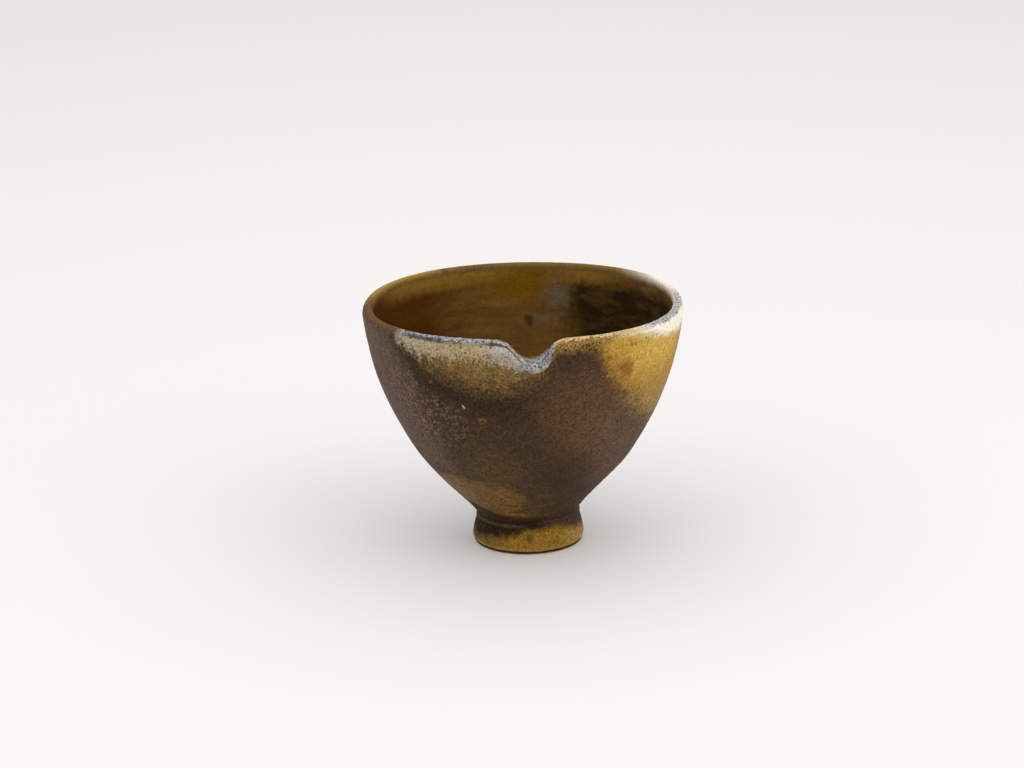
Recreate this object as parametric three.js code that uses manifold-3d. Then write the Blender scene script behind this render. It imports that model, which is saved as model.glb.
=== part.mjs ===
// A wood-fired stoneware tea pitcher: a deep thrown bowl with a pouring notch cut through its rim,
// standing on a flared foot ring. Millimetres, +Z up. The origin is the middle of the foot's base,
// and the notch pours towards -Y.
import * as THREE from 'three';
import * as BufferGeometryUtils from 'three/addons/utils/BufferGeometryUtils.js';
import Module from 'manifold-3d';

const wasm = await Module();
wasm.setup();

// Whole vessel
const HEIGHT = 75.2; // foot's base to the crest of the lip
const RIM_RADIUS = 48; // outside, just under the lip
const FOOT_HEIGHT = 10; // the seam where bowl and foot ring were luted together
const NECK_RADIUS = 15.5; // the bowl's underside at that seam

// Wall
const LIP_THICKNESS = 3.3;
const BELLY_THICKNESS = 4.9; // where the wall turns into the floor
const BELLY_SHARE = 0.85; // of the outline, from the lip down to where the wall is thickest
const INNER_WALL_TOP = 0.985; // shares of the outline between which the inner wall follows it
const INNER_WALL_FOOT = 0.2;
const FLOOR_HEIGHT = 15.4; // inside, at the centre
const LIP_OUTER_ROUND = [1.9, 2.6]; // radial and upright size of the lip's outer rounding
const LIP_INNER_ROUND = [1.4, 1.6];

// Belly outline: radius and height where the outer wall changes its sweep
const TRIMMED_FLARE = [18.95, 14.1];
const TRIMMED_EDGE = [26.6, 22.2];
const LOW_BELLY = [33.05, 30.25];
const MID_BELLY = [39.65, 42.25];
const HIGH_BELLY = [44.35, 54.25];
const SHOULDER = [47.15, 66.25];

// Foot ring: it flares from the seam down to its widest line and ends in a small rounded arris
const FOOT_UPPER = [15.75, 8];
const FOOT_MIDDLE = [16.3, 5.9];
const FOOT_LOWER = [16.85, 3.5];
const FOOT_WIDEST = [17, 2.3];
const FOOT_ARRIS = [16.6, 0.8];
const FOOT_BASE_RADIUS = 15.9;
const FOOT_BORE_TOP_RADIUS = 10.6;
const FOOT_BORE_MIDDLE = [10.9, 5.4];
const FOOT_BORE_BASE_RADIUS = 11.6;
const FOOT_BORE_CHAMFER = 0.6;
const SEAM_RIDGE = [15.85, 8.7]; // the line that the turning tool left standing under the seam
const SEAM_GROOVE = [15.45, 9.5];

// Underside of the bowl inside the foot ring
const RECESS_CLEARANCE = 0.3; // between the sagging underside and the ring's bore
const RECESS_SAG = 0.6;
const CENTRE_POINT_RADIUS = 1.8; // the small point that the trimming tool leaves
const CENTRE_POINT_DROP = 0.7;

// Pouring notch: depths and half widths of its inner and outer edge, left and right of its middle.
// A power near 2 is a soft shoulder and a higher one a steeper side.
const NOTCH_INNER = { depth: 5.8, left: [5.5, 2.9], right: [4.8, 2] };
const NOTCH_OUTER = { depth: 9.2, left: [5.1, 2], right: [5.7, 3.3] };
const NOTCH_REACH = 14; // the cutter's half length along the rim
const NOTCH_RUN_OUT_START = 8; // from here the cutter lifts off the lip again
const NOTCH_RUN_OUT = 0.9;
const CUTTER_MARGIN = 4; // past the wall on both sides, and above the lip

// What the hands left: a rim that rises and dips, a bowl set a little beside its foot, a seam that is
// not quite level and a spiral of finger marks inside. Angles are degrees from the notch towards +X.
const RIM_TILT = 0.17;
const RIM_TILT_ANGLE = -6; // the lowest side
const RIM_WAVE = 0.14;
const RIM_WAVE_ANGLE = -18;
const RIM_LOBES = 0.34; // three rises round the rim
const RIM_LOBES_ANGLE = -7;
const RIM_RISE_START = 0.25; // share of the bowl's height where rises and dips begin
const BOWL_OFFSET = 0.35; // towards -X
const BOWL_OFFSET_END = 0.2; // share of the bowl's height where it is reached
const SEAM_TILT = 0.5; // up on the +X side and down on the -X side
const SEAM_TILT_END = 0.25; // share of the bowl's height where the wall is level again
const FINGER_MARK_PITCH = 8.5;
const FINGER_MARK_DEPTH = 0.08;
const FINGER_MARKS_START = [0.15, 0.3]; // shares of the bowl's height where the marks come and go
const FINGER_MARKS_END = [0.85, 0.95];

// Facets
const AROUND = 72;
const FOOT_AROUND = 60;
const OUTER_ROWS = 20;
const INNER_ROWS = 28;
const FLOOR_ROWS = 7;
const LIP_ROWS = 4;
const FOOT_ROWS = 10;
const NOTCH_STEPS = 44;
const WALL_SAMPLES = 80;

const DEGREE = Math.PI / 180;
const LIP_CREST_RADIUS = RIM_RADIUS - LIP_OUTER_ROUND[0];

const { clamp, lerp, smoothstep } = THREE.MathUtils;
const point = (radius, height) => new THREE.Vector2(radius, height);

// Outer wall from the seam up to where the lip's rounding starts.
function outerWall() {
  return new THREE.SplineCurve([
    point(NECK_RADIUS, FOOT_HEIGHT),
    point(...TRIMMED_FLARE),
    point(...TRIMMED_EDGE),
    point(...LOW_BELLY),
    point(...MID_BELLY),
    point(...HIGH_BELLY),
    point(...SHOULDER),
    point(RIM_RADIUS, HEIGHT - LIP_OUTER_ROUND[1]),
  ]);
}

// Part of an ellipse round the lip's crest, from angle start to end, without its first point.
function lipRounding(centreRadius, [width, rise], start, end) {
  const rounding = new THREE.EllipseCurve(
    centreRadius, HEIGHT - rise, width, rise, start, end, end < start,
  );
  return rounding.getPoints(LIP_ROWS).slice(1);
}

// The wall is thinnest at the lip and thickens towards the floor.
function innerPoint(wall, share) {
  const outside = wall.getPointAt(share);
  const along = wall.getTangentAt(share);
  const thickness = lerp(LIP_THICKNESS, BELLY_THICKNESS, (1 - share) / BELLY_SHARE);
  return point(outside.x - along.y * thickness, outside.y + along.x * thickness);
}

// Underside from the small centre point out to the edge of the seat on the foot ring.
function undersidePoints() {
  const seatRadius = FOOT_BORE_TOP_RADIUS - RECESS_CLEARANCE;
  const sagHeight = FOOT_HEIGHT - RECESS_SAG;
  return [
    point(0, sagHeight - CENTRE_POINT_DROP),
    point(CENTRE_POINT_RADIUS * 0.6, sagHeight - CENTRE_POINT_DROP * 0.8),
    point(CENTRE_POINT_RADIUS, sagHeight),
    point(seatRadius * 0.6, sagHeight + RECESS_SAG * 0.3),
    point(seatRadius, FOOT_HEIGHT),
  ];
}

// A soft curve from the inner wall's lower end to the middle of the floor.
function floorCurve(edge) {
  return new THREE.CubicBezierCurve(
    edge,
    point(edge.x * 0.66, lerp(FLOOR_HEIGHT, edge.y, 0.34)),
    point(edge.x * 0.4, FLOOR_HEIGHT),
    point(0, FLOOR_HEIGHT),
  );
}

function bowlProfile() {
  const wall = outerWall();
  const overLip = [
    ...lipRounding(LIP_CREST_RADIUS, LIP_OUTER_ROUND, 0, Math.PI / 2),
    ...lipRounding(LIP_CREST_RADIUS, LIP_INNER_ROUND, Math.PI / 2, Math.PI),
  ];
  const inside = [];
  for (let row = 1; row <= INNER_ROWS; row += 1) {
    inside.push(innerPoint(wall, lerp(INNER_WALL_TOP, INNER_WALL_FOOT, row / INNER_ROWS)));
  }
  const floor = floorCurve(inside[inside.length - 1]).getPoints(FLOOR_ROWS).slice(1);
  return [...undersidePoints(), ...wall.getSpacedPoints(OUTER_ROWS), ...overLip, ...inside, ...floor];
}

function footProfile() {
  const outside = new THREE.SplineCurve([
    point(...FOOT_ARRIS),
    point(...FOOT_WIDEST),
    point(...FOOT_LOWER),
    point(...FOOT_MIDDLE),
    point(...FOOT_UPPER),
  ]).getPoints(FOOT_ROWS);
  return [
    point(FOOT_BORE_BASE_RADIUS, FOOT_BORE_CHAMFER),
    point(FOOT_BORE_BASE_RADIUS + FOOT_BORE_CHAMFER, 0),
    point(FOOT_BASE_RADIUS, 0),
    ...outside,
    point(...SEAM_RIDGE),
    point(...SEAM_GROOVE),
    point(NECK_RADIUS, FOOT_HEIGHT),
    point(FOOT_BORE_TOP_RADIUS, FOOT_HEIGHT),
    point(...FOOT_BORE_MIDDLE),
    point(FOOT_BORE_BASE_RADIUS, FOOT_BORE_CHAMFER),
  ];
}

// Turns a profile round +Z. The ring of facets with no area at the axis is left out.
function turned(profile, segments) {
  const geometry = new THREE.LatheGeometry(profile, segments);
  geometry.rotateX(Math.PI / 2);
  geometry.deleteAttribute('normal');
  geometry.deleteAttribute('uv');
  const merged = BufferGeometryUtils.mergeVertices(geometry, 1e-4);
  const corners = merged.index.array;
  const kept = [];
  for (let i = 0; i < corners.length; i += 3) {
    const [a, b, c] = corners.slice(i, i + 3);
    if (a !== b && b !== c && c !== a) kept.push(a, b, c);
  }
  merged.setIndex(kept);
  return merged;
}

function toSolid(geometry) {
  return new wasm.Manifold(new wasm.Mesh({
    numProp: 3,
    vertProperties: new Float32Array(geometry.attributes.position.array),
    triVerts: new Uint32Array(geometry.index.array),
  }));
}

function toGeometry(solid) {
  const mesh = solid.getMesh();
  const geometry = new THREE.BufferGeometry();
  geometry.setAttribute('position', new THREE.BufferAttribute(mesh.vertProperties, 3));
  geometry.setIndex(new THREE.BufferAttribute(mesh.triVerts, 1));
  return geometry;
}

// How far one edge of the notch lies under the lip, at a distance along the rim from its middle.
function edgeDepth(edge, along) {
  const [halfWidth, power] = along < 0 ? edge.left : edge.right;
  return edge.depth * Math.exp(-Math.LN2 * (Math.abs(along) / halfWidth) ** power);
}

// One four-cornered section of the cutter. Its lower side is the notch's face, which falls outwards
// from the inner edge to the outer one, so the cut is bevelled like a knife's.
function cutterSection(along) {
  const innerEnd = RIM_RADIUS - LIP_THICKNESS - CUTTER_MARGIN;
  const outerEnd = RIM_RADIUS + CUTTER_MARGIN;
  const past = Math.max(0, Math.abs(along) - NOTCH_RUN_OUT_START);
  const lift = NOTCH_RUN_OUT * (past / (NOTCH_REACH - NOTCH_RUN_OUT_START)) ** 2;
  const innerHeight = HEIGHT + lift - edgeDepth(NOTCH_INNER, along);
  const outerHeight = HEIGHT + lift - edgeDepth(NOTCH_OUTER, along);
  const slope = (outerHeight - innerHeight) / LIP_THICKNESS;
  return [
    [innerEnd, innerHeight - slope * CUTTER_MARGIN],
    [outerEnd, outerHeight + slope * CUTTER_MARGIN],
    [outerEnd, HEIGHT + CUTTER_MARGIN],
    [innerEnd, HEIGHT + CUTTER_MARGIN * 1.5],
  ];
}

// The cutter is a loft of such sections round the axis, closed by a cap at each end.
function notchCutter() {
  const vertices = [];
  const corners = [];
  for (let step = 0; step <= NOTCH_STEPS; step += 1) {
    const along = lerp(-NOTCH_REACH, NOTCH_REACH, step / NOTCH_STEPS);
    const angle = along / RIM_RADIUS;
    for (const [radius, height] of cutterSection(along)) {
      vertices.push(radius * Math.sin(angle), -radius * Math.cos(angle), height);
    }
  }
  for (let step = 0; step < NOTCH_STEPS; step += 1) {
    for (let side = 0; side < 4; side += 1) {
      const a = step * 4 + side;
      const b = step * 4 + ((side + 1) % 4);
      corners.push(a, b + 4, b, a, a + 4, b + 4);
    }
  }
  const last = NOTCH_STEPS * 4;
  corners.push(0, 1, 2, 0, 2, 3, last, last + 2, last + 1, last, last + 3, last + 2);
  const geometry = new THREE.BufferGeometry();
  geometry.setAttribute('position', new THREE.Float32BufferAttribute(vertices, 3));
  geometry.setIndex(corners);
  return geometry;
}

// 1 on the inner face of the wall, 0 on its outer face.
function insideShare(wallSamples, radius, height) {
  let outside = wallSamples[0];
  for (const sample of wallSamples) {
    if (sample.y < height) outside = sample;
  }
  return clamp((outside.x - radius) / LIP_THICKNESS, 0, 1);
}

// How far the rim's tilt, wave and lobes lift the wall.
function rimRise(angle, up) {
  const tilt = RIM_TILT * Math.cos(angle - RIM_TILT_ANGLE * DEGREE);
  const wave = RIM_WAVE * Math.cos(2 * (angle - RIM_WAVE_ANGLE * DEGREE));
  const lobes = RIM_LOBES * Math.cos(3 * (angle - RIM_LOBES_ANGLE * DEGREE));
  return smoothstep(up, RIM_RISE_START, 1) * (wave + lobes - tilt);
}

// How far the tilted seam lifts a point: fully at the seam, not at all at the base, and less and
// less up the bowl. It is the same for both pieces, so they still meet face to face.
function seamRise(x, z) {
  const up = (z - FOOT_HEIGHT) / (HEIGHT - FOOT_HEIGHT);
  const share = up < 0 ? z / FOOT_HEIGHT : Math.max(0, 1 - up / SEAM_TILT_END);
  return (SEAM_TILT * share * x) / NECK_RADIUS;
}

// Gives the true turned bowl the small unevenness of a thrown one.
function throwByHand(geometry) {
  const wallSamples = outerWall().getSpacedPoints(WALL_SAMPLES);
  const place = geometry.attributes.position;
  for (let i = 0; i < place.count; i += 1) {
    const [x, y, z] = [place.getX(i), place.getY(i), place.getZ(i)];
    const radius = Math.hypot(x, y);
    const angle = Math.atan2(x, -y);
    const up = Math.max(0, (z - FOOT_HEIGHT) / (HEIGHT - FOOT_HEIGHT));
    const turns = z / FINGER_MARK_PITCH + angle / (2 * Math.PI);
    const strength = smoothstep(up, ...FINGER_MARKS_START) * (1 - smoothstep(up, ...FINGER_MARKS_END));
    const mark = FINGER_MARK_DEPTH * strength * Math.sin(2 * Math.PI * turns);
    const stretch = radius > 0 ? 1 + (mark * insideShare(wallSamples, radius, z)) / radius : 1;
    const offset = -BOWL_OFFSET * smoothstep(up, 0, BOWL_OFFSET_END);
    place.setXYZ(i, x * stretch + offset, y * stretch, z + rimRise(angle, up) + seamRise(x, z));
  }
  return geometry;
}

function tiltTowardsSeam(geometry) {
  const place = geometry.attributes.position;
  for (let i = 0; i < place.count; i += 1) {
    place.setZ(i, place.getZ(i) + seamRise(place.getX(i), place.getZ(i)));
  }
  return geometry;
}

const ashGlaze = new THREE.MeshStandardMaterial({ color: 0x574027, roughness: 0.6, metalness: 0 });
const flashedClay = new THREE.MeshStandardMaterial({ color: 0x6e5222, roughness: 0.7, metalness: 0 });

function makeBowl() {
  const blank = toSolid(turned(bowlProfile(), AROUND));
  const cut = blank.subtract(toSolid(notchCutter()));
  const mesh = new THREE.Mesh(throwByHand(toGeometry(cut)), ashGlaze);
  mesh.name = 'bowl';
  return mesh;
}

function makeFootRing() {
  const mesh = new THREE.Mesh(tiltTowardsSeam(turned(footProfile(), FOOT_AROUND)), flashedClay);
  mesh.name = 'foot_ring';
  return mesh;
}

const teaPitcher = new THREE.Group();
teaPitcher.add(makeBowl(), makeFootRing());

export default teaPitcher;
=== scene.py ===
# %% [markdown]
# # A wood-fired tea pitcher
# The pot is a deep bowl thrown on the wheel, with a pouring notch cut through its rim and a foot ring luted
# underneath. It went into a wood kiln bare: flame flashed the clay brown, and flying ash melted on it into
# cream, olive and gold. This lesson turns the two clay parts, cuts the notch, roughens the surface, and then
# builds the fired skin layer by layer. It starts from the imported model, whose sizes nothing here changes.

# %% Load the frame
import math

import bpy
import numpy as np
from mathutils import Matrix, Vector
from mathutils.kdtree import KDTree


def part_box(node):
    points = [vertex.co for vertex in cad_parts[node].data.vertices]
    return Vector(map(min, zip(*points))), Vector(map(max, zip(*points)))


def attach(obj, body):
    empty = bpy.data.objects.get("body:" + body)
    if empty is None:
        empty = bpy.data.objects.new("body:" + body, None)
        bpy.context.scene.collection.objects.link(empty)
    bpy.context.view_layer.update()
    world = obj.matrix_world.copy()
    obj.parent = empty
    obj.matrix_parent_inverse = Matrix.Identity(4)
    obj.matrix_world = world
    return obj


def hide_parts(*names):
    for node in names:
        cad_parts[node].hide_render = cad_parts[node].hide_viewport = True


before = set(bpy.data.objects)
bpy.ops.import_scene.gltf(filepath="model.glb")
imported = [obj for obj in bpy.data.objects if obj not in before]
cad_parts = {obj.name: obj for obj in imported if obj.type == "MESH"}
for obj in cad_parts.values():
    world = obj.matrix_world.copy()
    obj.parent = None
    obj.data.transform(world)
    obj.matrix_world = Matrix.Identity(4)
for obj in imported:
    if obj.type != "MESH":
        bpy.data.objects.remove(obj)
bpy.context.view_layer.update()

MM = 0.001
bowl_low, bowl_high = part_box("bowl")
RIM_RADIUS = round(bowl_high.x - bowl_low.x, 4) / 2
SEAM_HEIGHT = 10 * MM
LIP_HEIGHT = 75.2 * MM
print("rim radius", RIM_RADIUS, "seam height", round(SEAM_HEIGHT, 5), "lip height", LIP_HEIGHT)

# %% [markdown]
# ## Camera, floor and light
# The camera and the light come first, because every finish is judged through them. The camera looks down by
# about 16 degrees through a long lens, so that the rim is a flat oval and the walls hardly converge. It is
# also turned a little about its own view line, which lifts the right side of the rim in the picture.

# %% Place the camera
LENS = 93.66
CAMERA_PLACE = Vector((-39.7, -767.23, 275.76)) * MM
CAMERA_AIM = Vector((0.0445, 0.95797, -0.28341))
CAMERA_ROLL = math.radians(-1.22)


def add_camera():
    bpy.ops.object.camera_add(location=CAMERA_PLACE)
    camera = bpy.context.object
    camera.name = "camera"
    camera.data.lens = LENS
    camera.data.clip_start = 0.01
    level = CAMERA_AIM.to_track_quat("-Z", "Y").to_matrix()
    camera.rotation_euler = (level @ Matrix.Rotation(CAMERA_ROLL, 3, "Z")).to_euler()
    bpy.context.scene.camera = camera
    return camera


camera = add_camera()
print("camera at", tuple(round(value, 4) for value in camera.location), "lens", camera.data.lens)

# %% [markdown]
# The fired colours are mixed from many thin layers, so the shader code has to stay readable. A `Value`
# wraps one output socket: `a * b`, `1 - mask` and the like add Math nodes by themselves, and `step` makes a
# soft mask. `Finish.add` makes any other node from its type, its settings and its inputs, `mix` lays one
# colour over another by a mask, and `layers` does that several times in turn.

# %% Shader helpers
class Value:
    """A number in a shader, so that shader maths reads like ordinary maths."""

    def __init__(self, finish, socket):
        self.finish = finish
        self.socket = socket

    def __add__(self, other):
        return self.finish.math("ADD", self, other)

    def __radd__(self, other):
        return self.finish.math("ADD", other, self)

    def __sub__(self, other):
        return self.finish.math("SUBTRACT", self, other)

    def __rsub__(self, other):
        return self.finish.math("SUBTRACT", other, self)

    def __mul__(self, other):
        return self.finish.math("MULTIPLY", self, other)

    def __rmul__(self, other):
        return self.finish.math("MULTIPLY", other, self)

    def larger(self, other):
        return self.finish.math("MAXIMUM", self, other)

    def step(self, low, high):
        """0 below the first value, 1 beyond the second, and soft between them. Either may be the larger."""
        return self.finish.add("MapRange", {"interpolation_type": "SMOOTHSTEP"},
                               {"Value": self, "From Min": low, "From Max": high})

    def between(self, start, full, fade, end):
        """1 from full to fade, and 0 before the start and after the end."""
        return self.step(start, full) * self.step(end, fade)


class Finish:
    """One material under construction."""

    def __init__(self, owner):
        owner.use_nodes = True
        self.tree = owner.node_tree
        self.tree.nodes.clear()

    def add(self, kind, settings=None, inputs=None, output=0):
        """Adds a shader node of a kind, such as "Math" or "TexNoise", and gives one of its outputs."""
        node = self.tree.nodes.new("ShaderNode" + kind)
        for name, setting in (settings or {}).items():
            setattr(node, name, setting)
        for name, given in (inputs or {}).items():
            if isinstance(given, Value):
                self.tree.links.new(given.socket, node.inputs[name])
            else:
                node.inputs[name].default_value = given
        return None if output is None else Value(self, node.outputs[output])

    def math(self, operation, first, second=0.0):
        return self.add("Math", {"operation": operation}, {0: first, 1: second})

    def mix(self, below, above, mask):
        """The first colour, covered by the second where the mask is 1."""
        return self.add("Mix", {"data_type": "RGBA"}, {0: mask, 6: below, 7: above}, 2)

    def layers(self, colour, *layers):
        """A colour with others laid over it in turn, each by its own mask."""
        for above, mask in layers:
            colour = self.mix(colour, above, mask)
        return colour


# %% [markdown]
# The floor is one wide pale disc. To the camera it is near white, and its colour is painted darker towards
# the edges of the view, as a painted fall-off of light like paper under a soft lamp. It still takes the pot's
# shadow.

# %% Lay the floor
FLOOR_RADIUS = 4.0
FLOOR_MIDDLE = (0.975, 0.955, 0.955, 1)
# painted light: the floor's colour is lightest in an oval a little in front of the pot and painted darker
# towards its edge
FLOOR_PAINTED_DIM_EDGE = (0.84, 0.805, 0.8, 1)
FLOOR_OVAL = {"Location": (0, 0.35, 0), "Scale": (1.9, 1, 1)}  # brightest a little in front of the pot
PAINTED_LIGHT_FALL_OFF = (0.1, 1.9)


def floor_finish():
    material = bpy.data.materials.new("pale_paper")
    finish = Finish(material)
    place = finish.add("TexCoord", output="Object")
    centred = finish.add("Mapping", inputs={0: place, **FLOOR_OVAL})
    distance = finish.add("VectorMath", {"operation": "LENGTH"}, {0: centred}, "Value")
    colour = finish.mix(FLOOR_MIDDLE, FLOOR_PAINTED_DIM_EDGE, distance.step(*PAINTED_LIGHT_FALL_OFF))
    shader = finish.add("BsdfPrincipled", inputs={"Base Color": colour, "Roughness": 0.9})
    finish.add("OutputMaterial", inputs={"Surface": shader}, output=None)
    return material


def lay_floor():
    bpy.ops.mesh.primitive_circle_add(vertices=96, radius=FLOOR_RADIUS, fill_type="NGON")
    floor = bpy.context.object
    floor.name = "paper_floor"
    floor.data.materials.append(floor_finish())
    return floor


floor = lay_floor()
print(floor.name, "with a radius of", FLOOR_RADIUS, "m")

# %% [markdown]
# An even pale sky gives most of the light. A large soft lamp to the right in front adds the shadow to the
# left behind the pot, and a weaker one at the left opens the dark side. What the camera sees behind the
# floor is the backdrop's own colour.

# %% Light the pot
KEY_PLACE = Vector((1395, -1350, 1710)) * MM
KEY_SIZE = 2.2
KEY_POWER = 8.0
FILL_PLACE = Vector((-1395, -1260, 1710)) * MM
FILL_SIZE = 1.35
FILL_POWER = 2.5
SKY_STRENGTH = 0.92
SKY_COLOUR = (1, 0.99, 0.985, 1)
BACKDROP_COLOUR = (0.86, 0.84, 0.83, 1)


def add_lamp(name, place, size, power):
    bpy.ops.object.light_add(type="AREA", location=place)
    lamp = bpy.context.object
    lamp.name = name
    lamp.data.shape = "DISK"
    lamp.data.size = size
    lamp.data.energy = power
    middle = Vector((0, 0, LIP_HEIGHT / 2))
    lamp.rotation_euler = (middle - place).to_track_quat("-Z", "Y").to_euler()
    return lamp


def light_sky():
    world = bpy.data.worlds.new("pale_sky")
    bpy.context.scene.world = world
    finish = Finish(world)
    seen = finish.add("LightPath", output="Is Camera Ray")
    for mirrored in ("Is Glossy Ray", "Is Transmission Ray"):
        seen = seen.larger(finish.add("LightPath", output=mirrored))
    colour = finish.mix(SKY_COLOUR, BACKDROP_COLOUR, seen)
    strength = SKY_STRENGTH + seen * (1 - SKY_STRENGTH)
    background = finish.add("Background", inputs={"Color": colour, "Strength": strength})
    finish.add("OutputWorld", inputs={"Surface": background}, output=None)


key_lamp = add_lamp("key_lamp", KEY_PLACE, KEY_SIZE, KEY_POWER)
fill_lamp = add_lamp("fill_lamp", FILL_PLACE, FILL_SIZE, FILL_POWER)
light_sky()
bpy.context.scene.view_settings.view_transform = "Standard"
print("key lamp", key_lamp.data.energy, "W, fill lamp", fill_lamp.data.energy, "W, sky", SKY_STRENGTH)

# %% [markdown]
# ## Turning the bowl
# On the wheel the whole bowl comes from one section: the wall's outline, swept once round the axis. So the
# section is drawn first, as one chain of points from the middle of the underside, up the outer wall, over
# the lip and down to the middle of the floor. The wall is a smooth curve through a few measured radii, and
# the inner wall follows it at the clay's own thickness, thin at the lip and thicker lower down.

# %% Draw the walls
WALL_POINTS = (
    (15.5, 10), (18.95, 14.1), (26.6, 22.2), (33.05, 30.25), (39.65, 42.25), (44.35, 54.25), (47.15, 66.25),
    (48, 72.6),
)  # radius and height
LIP_THICKNESS = 3.3
BELLY_THICKNESS = 4.9
BELLY_SHARE = 0.85  # of the outline, from the lip down to where the wall is thickest
INNER_WALL_ENDS = (0.985, 0.2)  # shares of the outline that the inner wall follows
FLOOR_HEIGHT = 15.4
SKIN_ROOM = 0.1  # kept free all round for the rough skin
CURVE_SAMPLES = 60  # between two given points
WALL_SAMPLES = 1500


def runs(line):
    """The length of a line up to each of its points."""
    return np.concatenate([[0], np.cumsum(np.hypot(*np.diff(line, axis=0).T))])


def spread(line, shares):
    """Points of a line at the given shares of its length."""
    run = runs(line)
    return np.stack([np.interp(shares * run[-1], run, line[:, k]) for k in (0, 1)], axis=1)


def smooth_curve(points, count):
    """A curve through all the points, sampled evenly by length."""
    points = np.array(points, dtype=float)
    padded = np.vstack([points[0], points, points[-1]])
    dense = []
    for before, start, end, after in zip(padded, padded[1:], padded[2:], padded[3:]):
        leave = (end - before) / 2
        arrive = (after - start) / 2
        for t in np.linspace(0, 1, CURVE_SAMPLES, endpoint=False):
            cube = (2 * start - 2 * end + leave + arrive) * t**3
            square = (3 * end - 3 * start - 2 * leave - arrive) * t**2
            dense.append(cube + square + leave * t + start)
    dense.append(points[-1])
    return spread(np.array(dense), np.linspace(0, 1, count))


def offset_inwards(wall):
    """The inner wall, from the lip downwards."""
    share = np.linspace(0, 1, len(wall))
    along = np.gradient(wall, axis=0)
    along /= np.hypot(*along.T)[:, None]
    thickness = LIP_THICKNESS + (BELLY_THICKNESS - LIP_THICKNESS) * (1 - share) / BELLY_SHARE
    inner = wall + np.stack([-along[:, 1], along[:, 0]], axis=1) * thickness[:, None]
    top, bottom = INNER_WALL_ENDS
    return inner[(share <= top) & (share >= bottom)][::-1]


outer_wall = smooth_curve(WALL_POINTS, WALL_SAMPLES) - (SKIN_ROOM, 0)
inner_wall = offset_inwards(outer_wall)
print("outer wall", outer_wall[0], "to", outer_wall[-1], "inner wall", inner_wall[0], "to", inner_wall[-1])

# %% Draw the lip, the floor and the underside
LIP_OUTER_ROUND = (1.9, 2.6)
LIP_INNER_ROUND = (1.4, 1.6)
LIP_CREST = (RIM_RADIUS / MM - LIP_OUTER_ROUND[0] - SKIN_ROOM, LIP_HEIGHT / MM - SKIN_ROOM)
UNDERSIDE = ((0, 8.75), (1.1, 8.9), (1.8, 9.4), (6.2, 9.6), (10.3, 10), (15.4, 10))
LIP_SAMPLES = 60
FLOOR_SAMPLES = 80
FLOOR_BEND = 0.66  # how far out the wall's curve keeps its slope, as a share of the edge's radius
FLOOR_FLAT = 0.4  # and how far out the floor stays level


def lip_quarter(size, start):
    """A quarter of an ellipse whose top is the lip's crest, starting at an angle in degrees."""
    turn = np.radians(np.linspace(start, start + 90, LIP_SAMPLES))
    width, rise = size
    return np.stack([LIP_CREST[0] + width * np.cos(turn), LIP_CREST[1] - rise + rise * np.sin(turn)], axis=1)


def bowl_floor(edge):
    """A soft curve from the inner wall's lower end to the middle of the floor."""
    radius, height = edge
    bend_height = FLOOR_HEIGHT + (height - FLOOR_HEIGHT) * (1 - FLOOR_BEND)
    bend, flat = (radius * FLOOR_BEND, bend_height), (radius * FLOOR_FLAT, FLOOR_HEIGHT)
    handles = np.array([edge, bend, flat, (0, FLOOR_HEIGHT)])
    t = np.linspace(0, 1, FLOOR_SAMPLES)[:, None]
    weights = ((1 - t)**3, 3 * (1 - t)**2 * t, 3 * (1 - t) * t**2, t**3)
    return sum(weight * handle for weight, handle in zip(weights, handles))


lip = np.vstack([lip_quarter(LIP_OUTER_ROUND, 0), lip_quarter(LIP_INNER_ROUND, 90)])
floor_line = bowl_floor(inner_wall[-1])
print("lip crest", LIP_CREST, "floor from", floor_line[0], "to", floor_line[-1])

# %% [markdown]
# The notch is a knife's cut through the damp wall, wiped smooth with a finger. A Boolean would do it, but it
# leaves long thin triangles along the cut, which then shade badly. Here each column of points over the lip
# is shortened to the knife's line instead, so that the rows flow through the notch as the clay does. The
# inner and the outer edge of the cut are two bell curves, each with its own left and right shoulder.

# %% Work out the rows over the lip, with the notch
TOP_START = 58  # the cut changes nothing below this height
NOTCH_INNER = {"depth": 5.8, "left": (5.5, 2.9), "right": (4.8, 2)}  # half width at half depth, and power
NOTCH_OUTER = {"depth": 9.2, "left": (5.1, 2), "right": (5.7, 3.3)}
NOTCH_REACH = 14
NOTCH_RUN_OUT_START = 8
NOTCH_RUN_OUT = 0.9  # how far the knife has lifted at the ends of the notch
OVER_LIP_SAMPLES = 760
CUT_SAMPLES = 60
EDGE_SOFTNESS = 0.28  # how far melted ash has rounded each edge
SAMPLE = 0.05  # between the points of a line that is being softened
ROWS_UNDERSIDE = 12
ROWS_LOW_OUTSIDE = 80
ROWS_TOP_OUTSIDE = 32
ROWS_LIP = 13
ROWS_TOP_INSIDE = 22
ROWS_LOW_INSIDE = 35
ROWS_FLOOR = 8

outer_top = outer_wall[outer_wall[:, 1] >= TOP_START]
inner_top = inner_wall[inner_wall[:, 1] >= TOP_START]
over_lip = spread(np.vstack([outer_top, lip[1:], inner_top]), np.linspace(0, 1, OVER_LIP_SAMPLES))
lip_starts = np.argmax(over_lip[:, 1] >= outer_wall[-1, 1])
lip_ends = len(over_lip) - np.argmax(over_lip[::-1, 1] >= inner_wall[0, 1])


def edge_depth(edge, along):
    """How deep one edge of the cut lies, at a distance along the rim from the notch's middle."""
    half_width, power = edge["left"] if along < 0 else edge["right"]
    return edge["depth"] * math.exp(-math.log(2) * (abs(along) / half_width)**power)


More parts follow.
